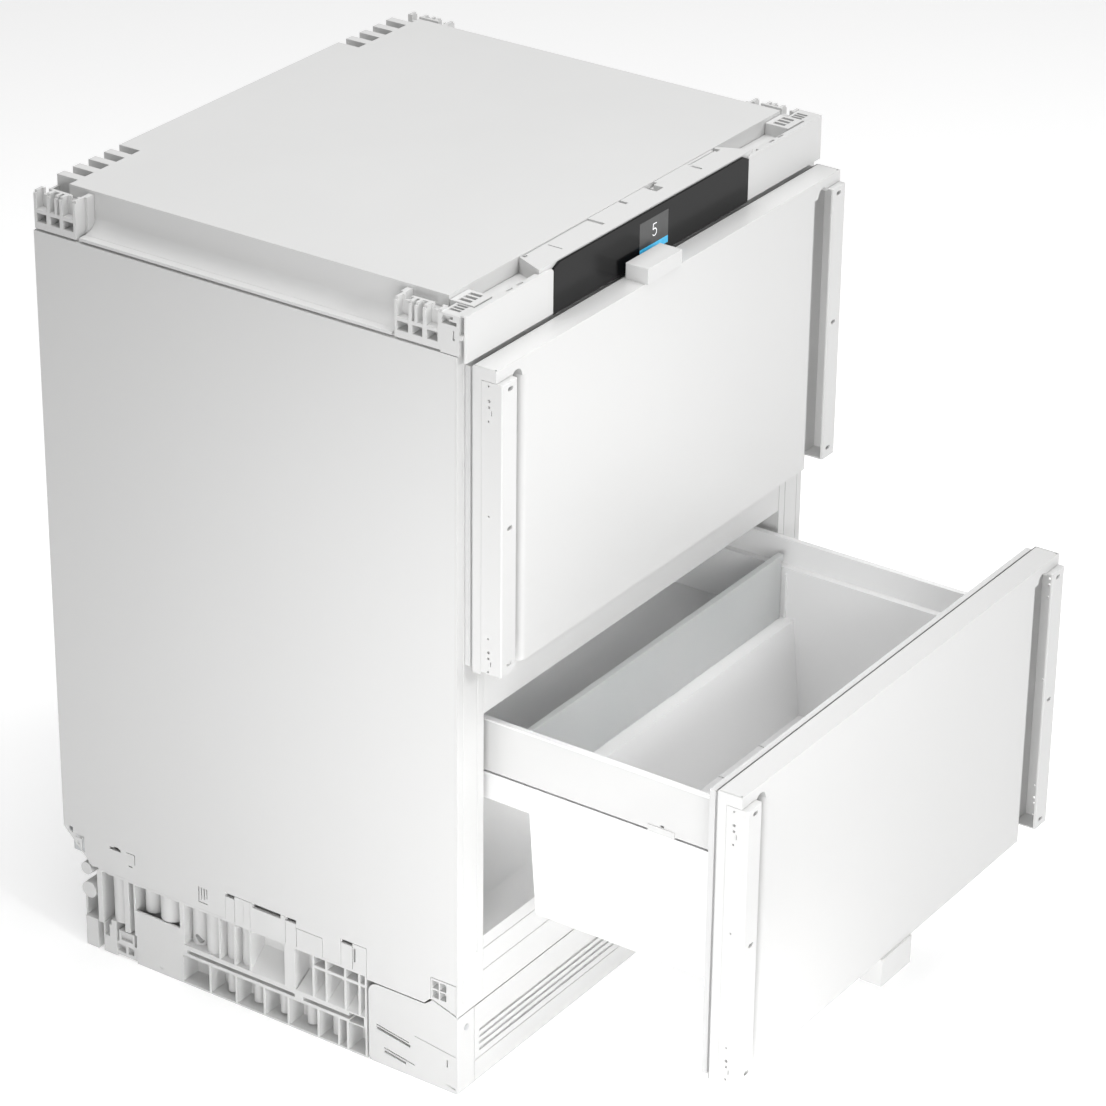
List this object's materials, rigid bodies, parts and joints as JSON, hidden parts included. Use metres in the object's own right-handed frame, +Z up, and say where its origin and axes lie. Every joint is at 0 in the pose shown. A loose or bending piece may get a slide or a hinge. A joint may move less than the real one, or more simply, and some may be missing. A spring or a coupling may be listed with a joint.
{
  "type": "undercounter drawer refrigerator",
  "caption": "Built-under refrigerator with two full-width drawers on runners, raised drawer fronts with strips for furniture panels, a glossy control panel and a ribbed plinth.",
  "frame": {"origin": "on the floor, under the middle of the side panels", "axes": "+X to the right, +Y to the rear, +Z up; the drawers open towards -Y"},
  "size_m": [0.597, 0.796, 0.82],
  "materials": {
    "coated_steel": "semi-gloss white coating",
    "white_plastic": "satin",
    "box_plastic": "satin",
    "foam": "matte",
    "galvanised_steel": "galvanised",
    "aluminium": "bare",
    "black_gloss": "gloss",
    "display": "gloss",
    "gasket": "matte",
    "frosted": "frosted",
    "light_lens": "diffusing",
    "black_plastic": "matte",
    "black_paint": "satin black",
    "grey_plastic": "matte",
    "base_steel": "matte",
    "mount_rubber": "matte",
    "copper_tube": "bare copper"
  },
  "bodies": {
    "cabinet": {"side_panel_left": "coated_steel", "side_panel_right": "coated_steel", "rear_panel": "galvanised_steel", "top_cover": "white_plastic", "corner_brackets_rear": "white_plastic", "corner_brackets_front": "white_plastic", "front_post_left": "white_plastic", "front_post_right": "white_plastic", "mullion": "white_plastic", "top_rail": "white_plastic", "sill": "white_plastic", "insulation": "foam", "inner_liner": "white_plastic", "evaporator": "aluminium", "evaporator_cover": "white_plastic", "interior_light": "light_lens", "cabinet_runners": "galvanised_steel", "compressor": "black_paint", "compressor_mounts": "mount_rubber", "condenser": "black_paint", "condenser_fan_bracket": "grey_plastic", "drip_tray": "black_plastic", "refrigerant_pipes": "copper_tube", "control_box": "black_plastic", "mains_inlet": "black_plastic", "base_pan": "base_steel", "base_side_left": "white_plastic", "base_side_right": "white_plastic", "plinth_grille": "white_plastic", "plinth_cheeks": "white_plastic", "fascia_ends": "white_plastic", "control_panel": "black_gloss", "display_module": "display", "control_housing": "white_plastic", "fasteners": "galvanised_steel"},
    "lower_drawer": {"lower_front_pan": "coated_steel", "lower_front_foam": "foam", "lower_front_inner": "white_plastic", "lower_gasket": "gasket", "lower_mounting_strips": "coated_steel", "lower_bottom_bracket": "white_plastic", "lower_side_frames": "coated_steel", "lower_box": "box_plastic"},
    "upper_drawer": {"upper_front_pan": "coated_steel", "upper_front_foam": "foam", "upper_front_inner": "white_plastic", "upper_gasket": "gasket", "upper_mounting_strips": "coated_steel", "upper_top_bracket": "white_plastic", "upper_side_frames": "coated_steel", "upper_box": "box_plastic"},
    "lower_runners": {"lower_runner_middles": "galvanised_steel"},
    "upper_runners": {"upper_runner_middles": "galvanised_steel"},
    "divider": {"divider": "frosted"},
    "evaporator_fan": {"evaporator_fan": "black_plastic"},
    "condenser_fan": {"condenser_fan": "black_plastic"},
    "foot_front_left": {"foot_front_left": "black_plastic"},
    "foot_front_right": {"foot_front_right": "black_plastic"},
    "foot_rear_left": {"foot_rear_left": "black_plastic"},
    "foot_rear_right": {"foot_rear_right": "black_plastic"}
  },
  "joints": [
    {"name": "lower_drawer_slide", "type": "slide", "parent": "cabinet", "child": "lower_drawer", "axis": [0, -1, 0], "range_m": [-0.266, 0.134]},
    {"name": "upper_drawer_slide", "type": "slide", "parent": "cabinet", "child": "upper_drawer", "axis": [0, -1, 0], "range_m": [0, 0.4]},
    {"name": "lower_runner_slide", "type": "slide", "parent": "cabinet", "child": "lower_runners", "axis": [0, -1, 0], "range_m": [-0.133, 0.067]},
    {"name": "upper_runner_slide", "type": "slide", "parent": "cabinet", "child": "upper_runners", "axis": [0, -1, 0], "range_m": [0, 0.2]},
    {"name": "divider_slide", "type": "slide", "parent": "lower_drawer", "child": "divider", "axis": [0, 0, 1], "range_m": [0, 0.06]},
    {"name": "evaporator_fan_spin", "type": "hinge", "parent": "cabinet", "child": "evaporator_fan", "pos_m": [0, 0.16, 0.64], "axis": [0, 1, 0], "continuous": true},
    {"name": "condenser_fan_spin", "type": "hinge", "parent": "cabinet", "child": "condenser_fan", "pos_m": [0.15, 0.114, 0.085], "axis": [0, 1, 0], "continuous": true},
    {"name": "foot_front_left_screw", "type": "slide", "parent": "cabinet", "child": "foot_front_left", "axis": [0, 0, -1], "range_m": [0, 0.05]},
    {"name": "foot_front_right_screw", "type": "slide", "parent": "cabinet", "child": "foot_front_right", "axis": [0, 0, -1], "range_m": [0, 0.05]},
    {"name": "foot_rear_left_screw", "type": "slide", "parent": "cabinet", "child": "foot_rear_left", "axis": [0, 0, -1], "range_m": [0, 0.05]},
    {"name": "foot_rear_right_screw", "type": "slide", "parent": "cabinet", "child": "foot_rear_right", "axis": [0, 0, -1], "range_m": [0, 0.05]}
  ],
  "couplings": [
    {"joint": "lower_runner_slide", "follows": "lower_drawer_slide", "ratio": 0.5},
    {"joint": "upper_runner_slide", "follows": "upper_drawer_slide", "ratio": 0.5}
  ]
}
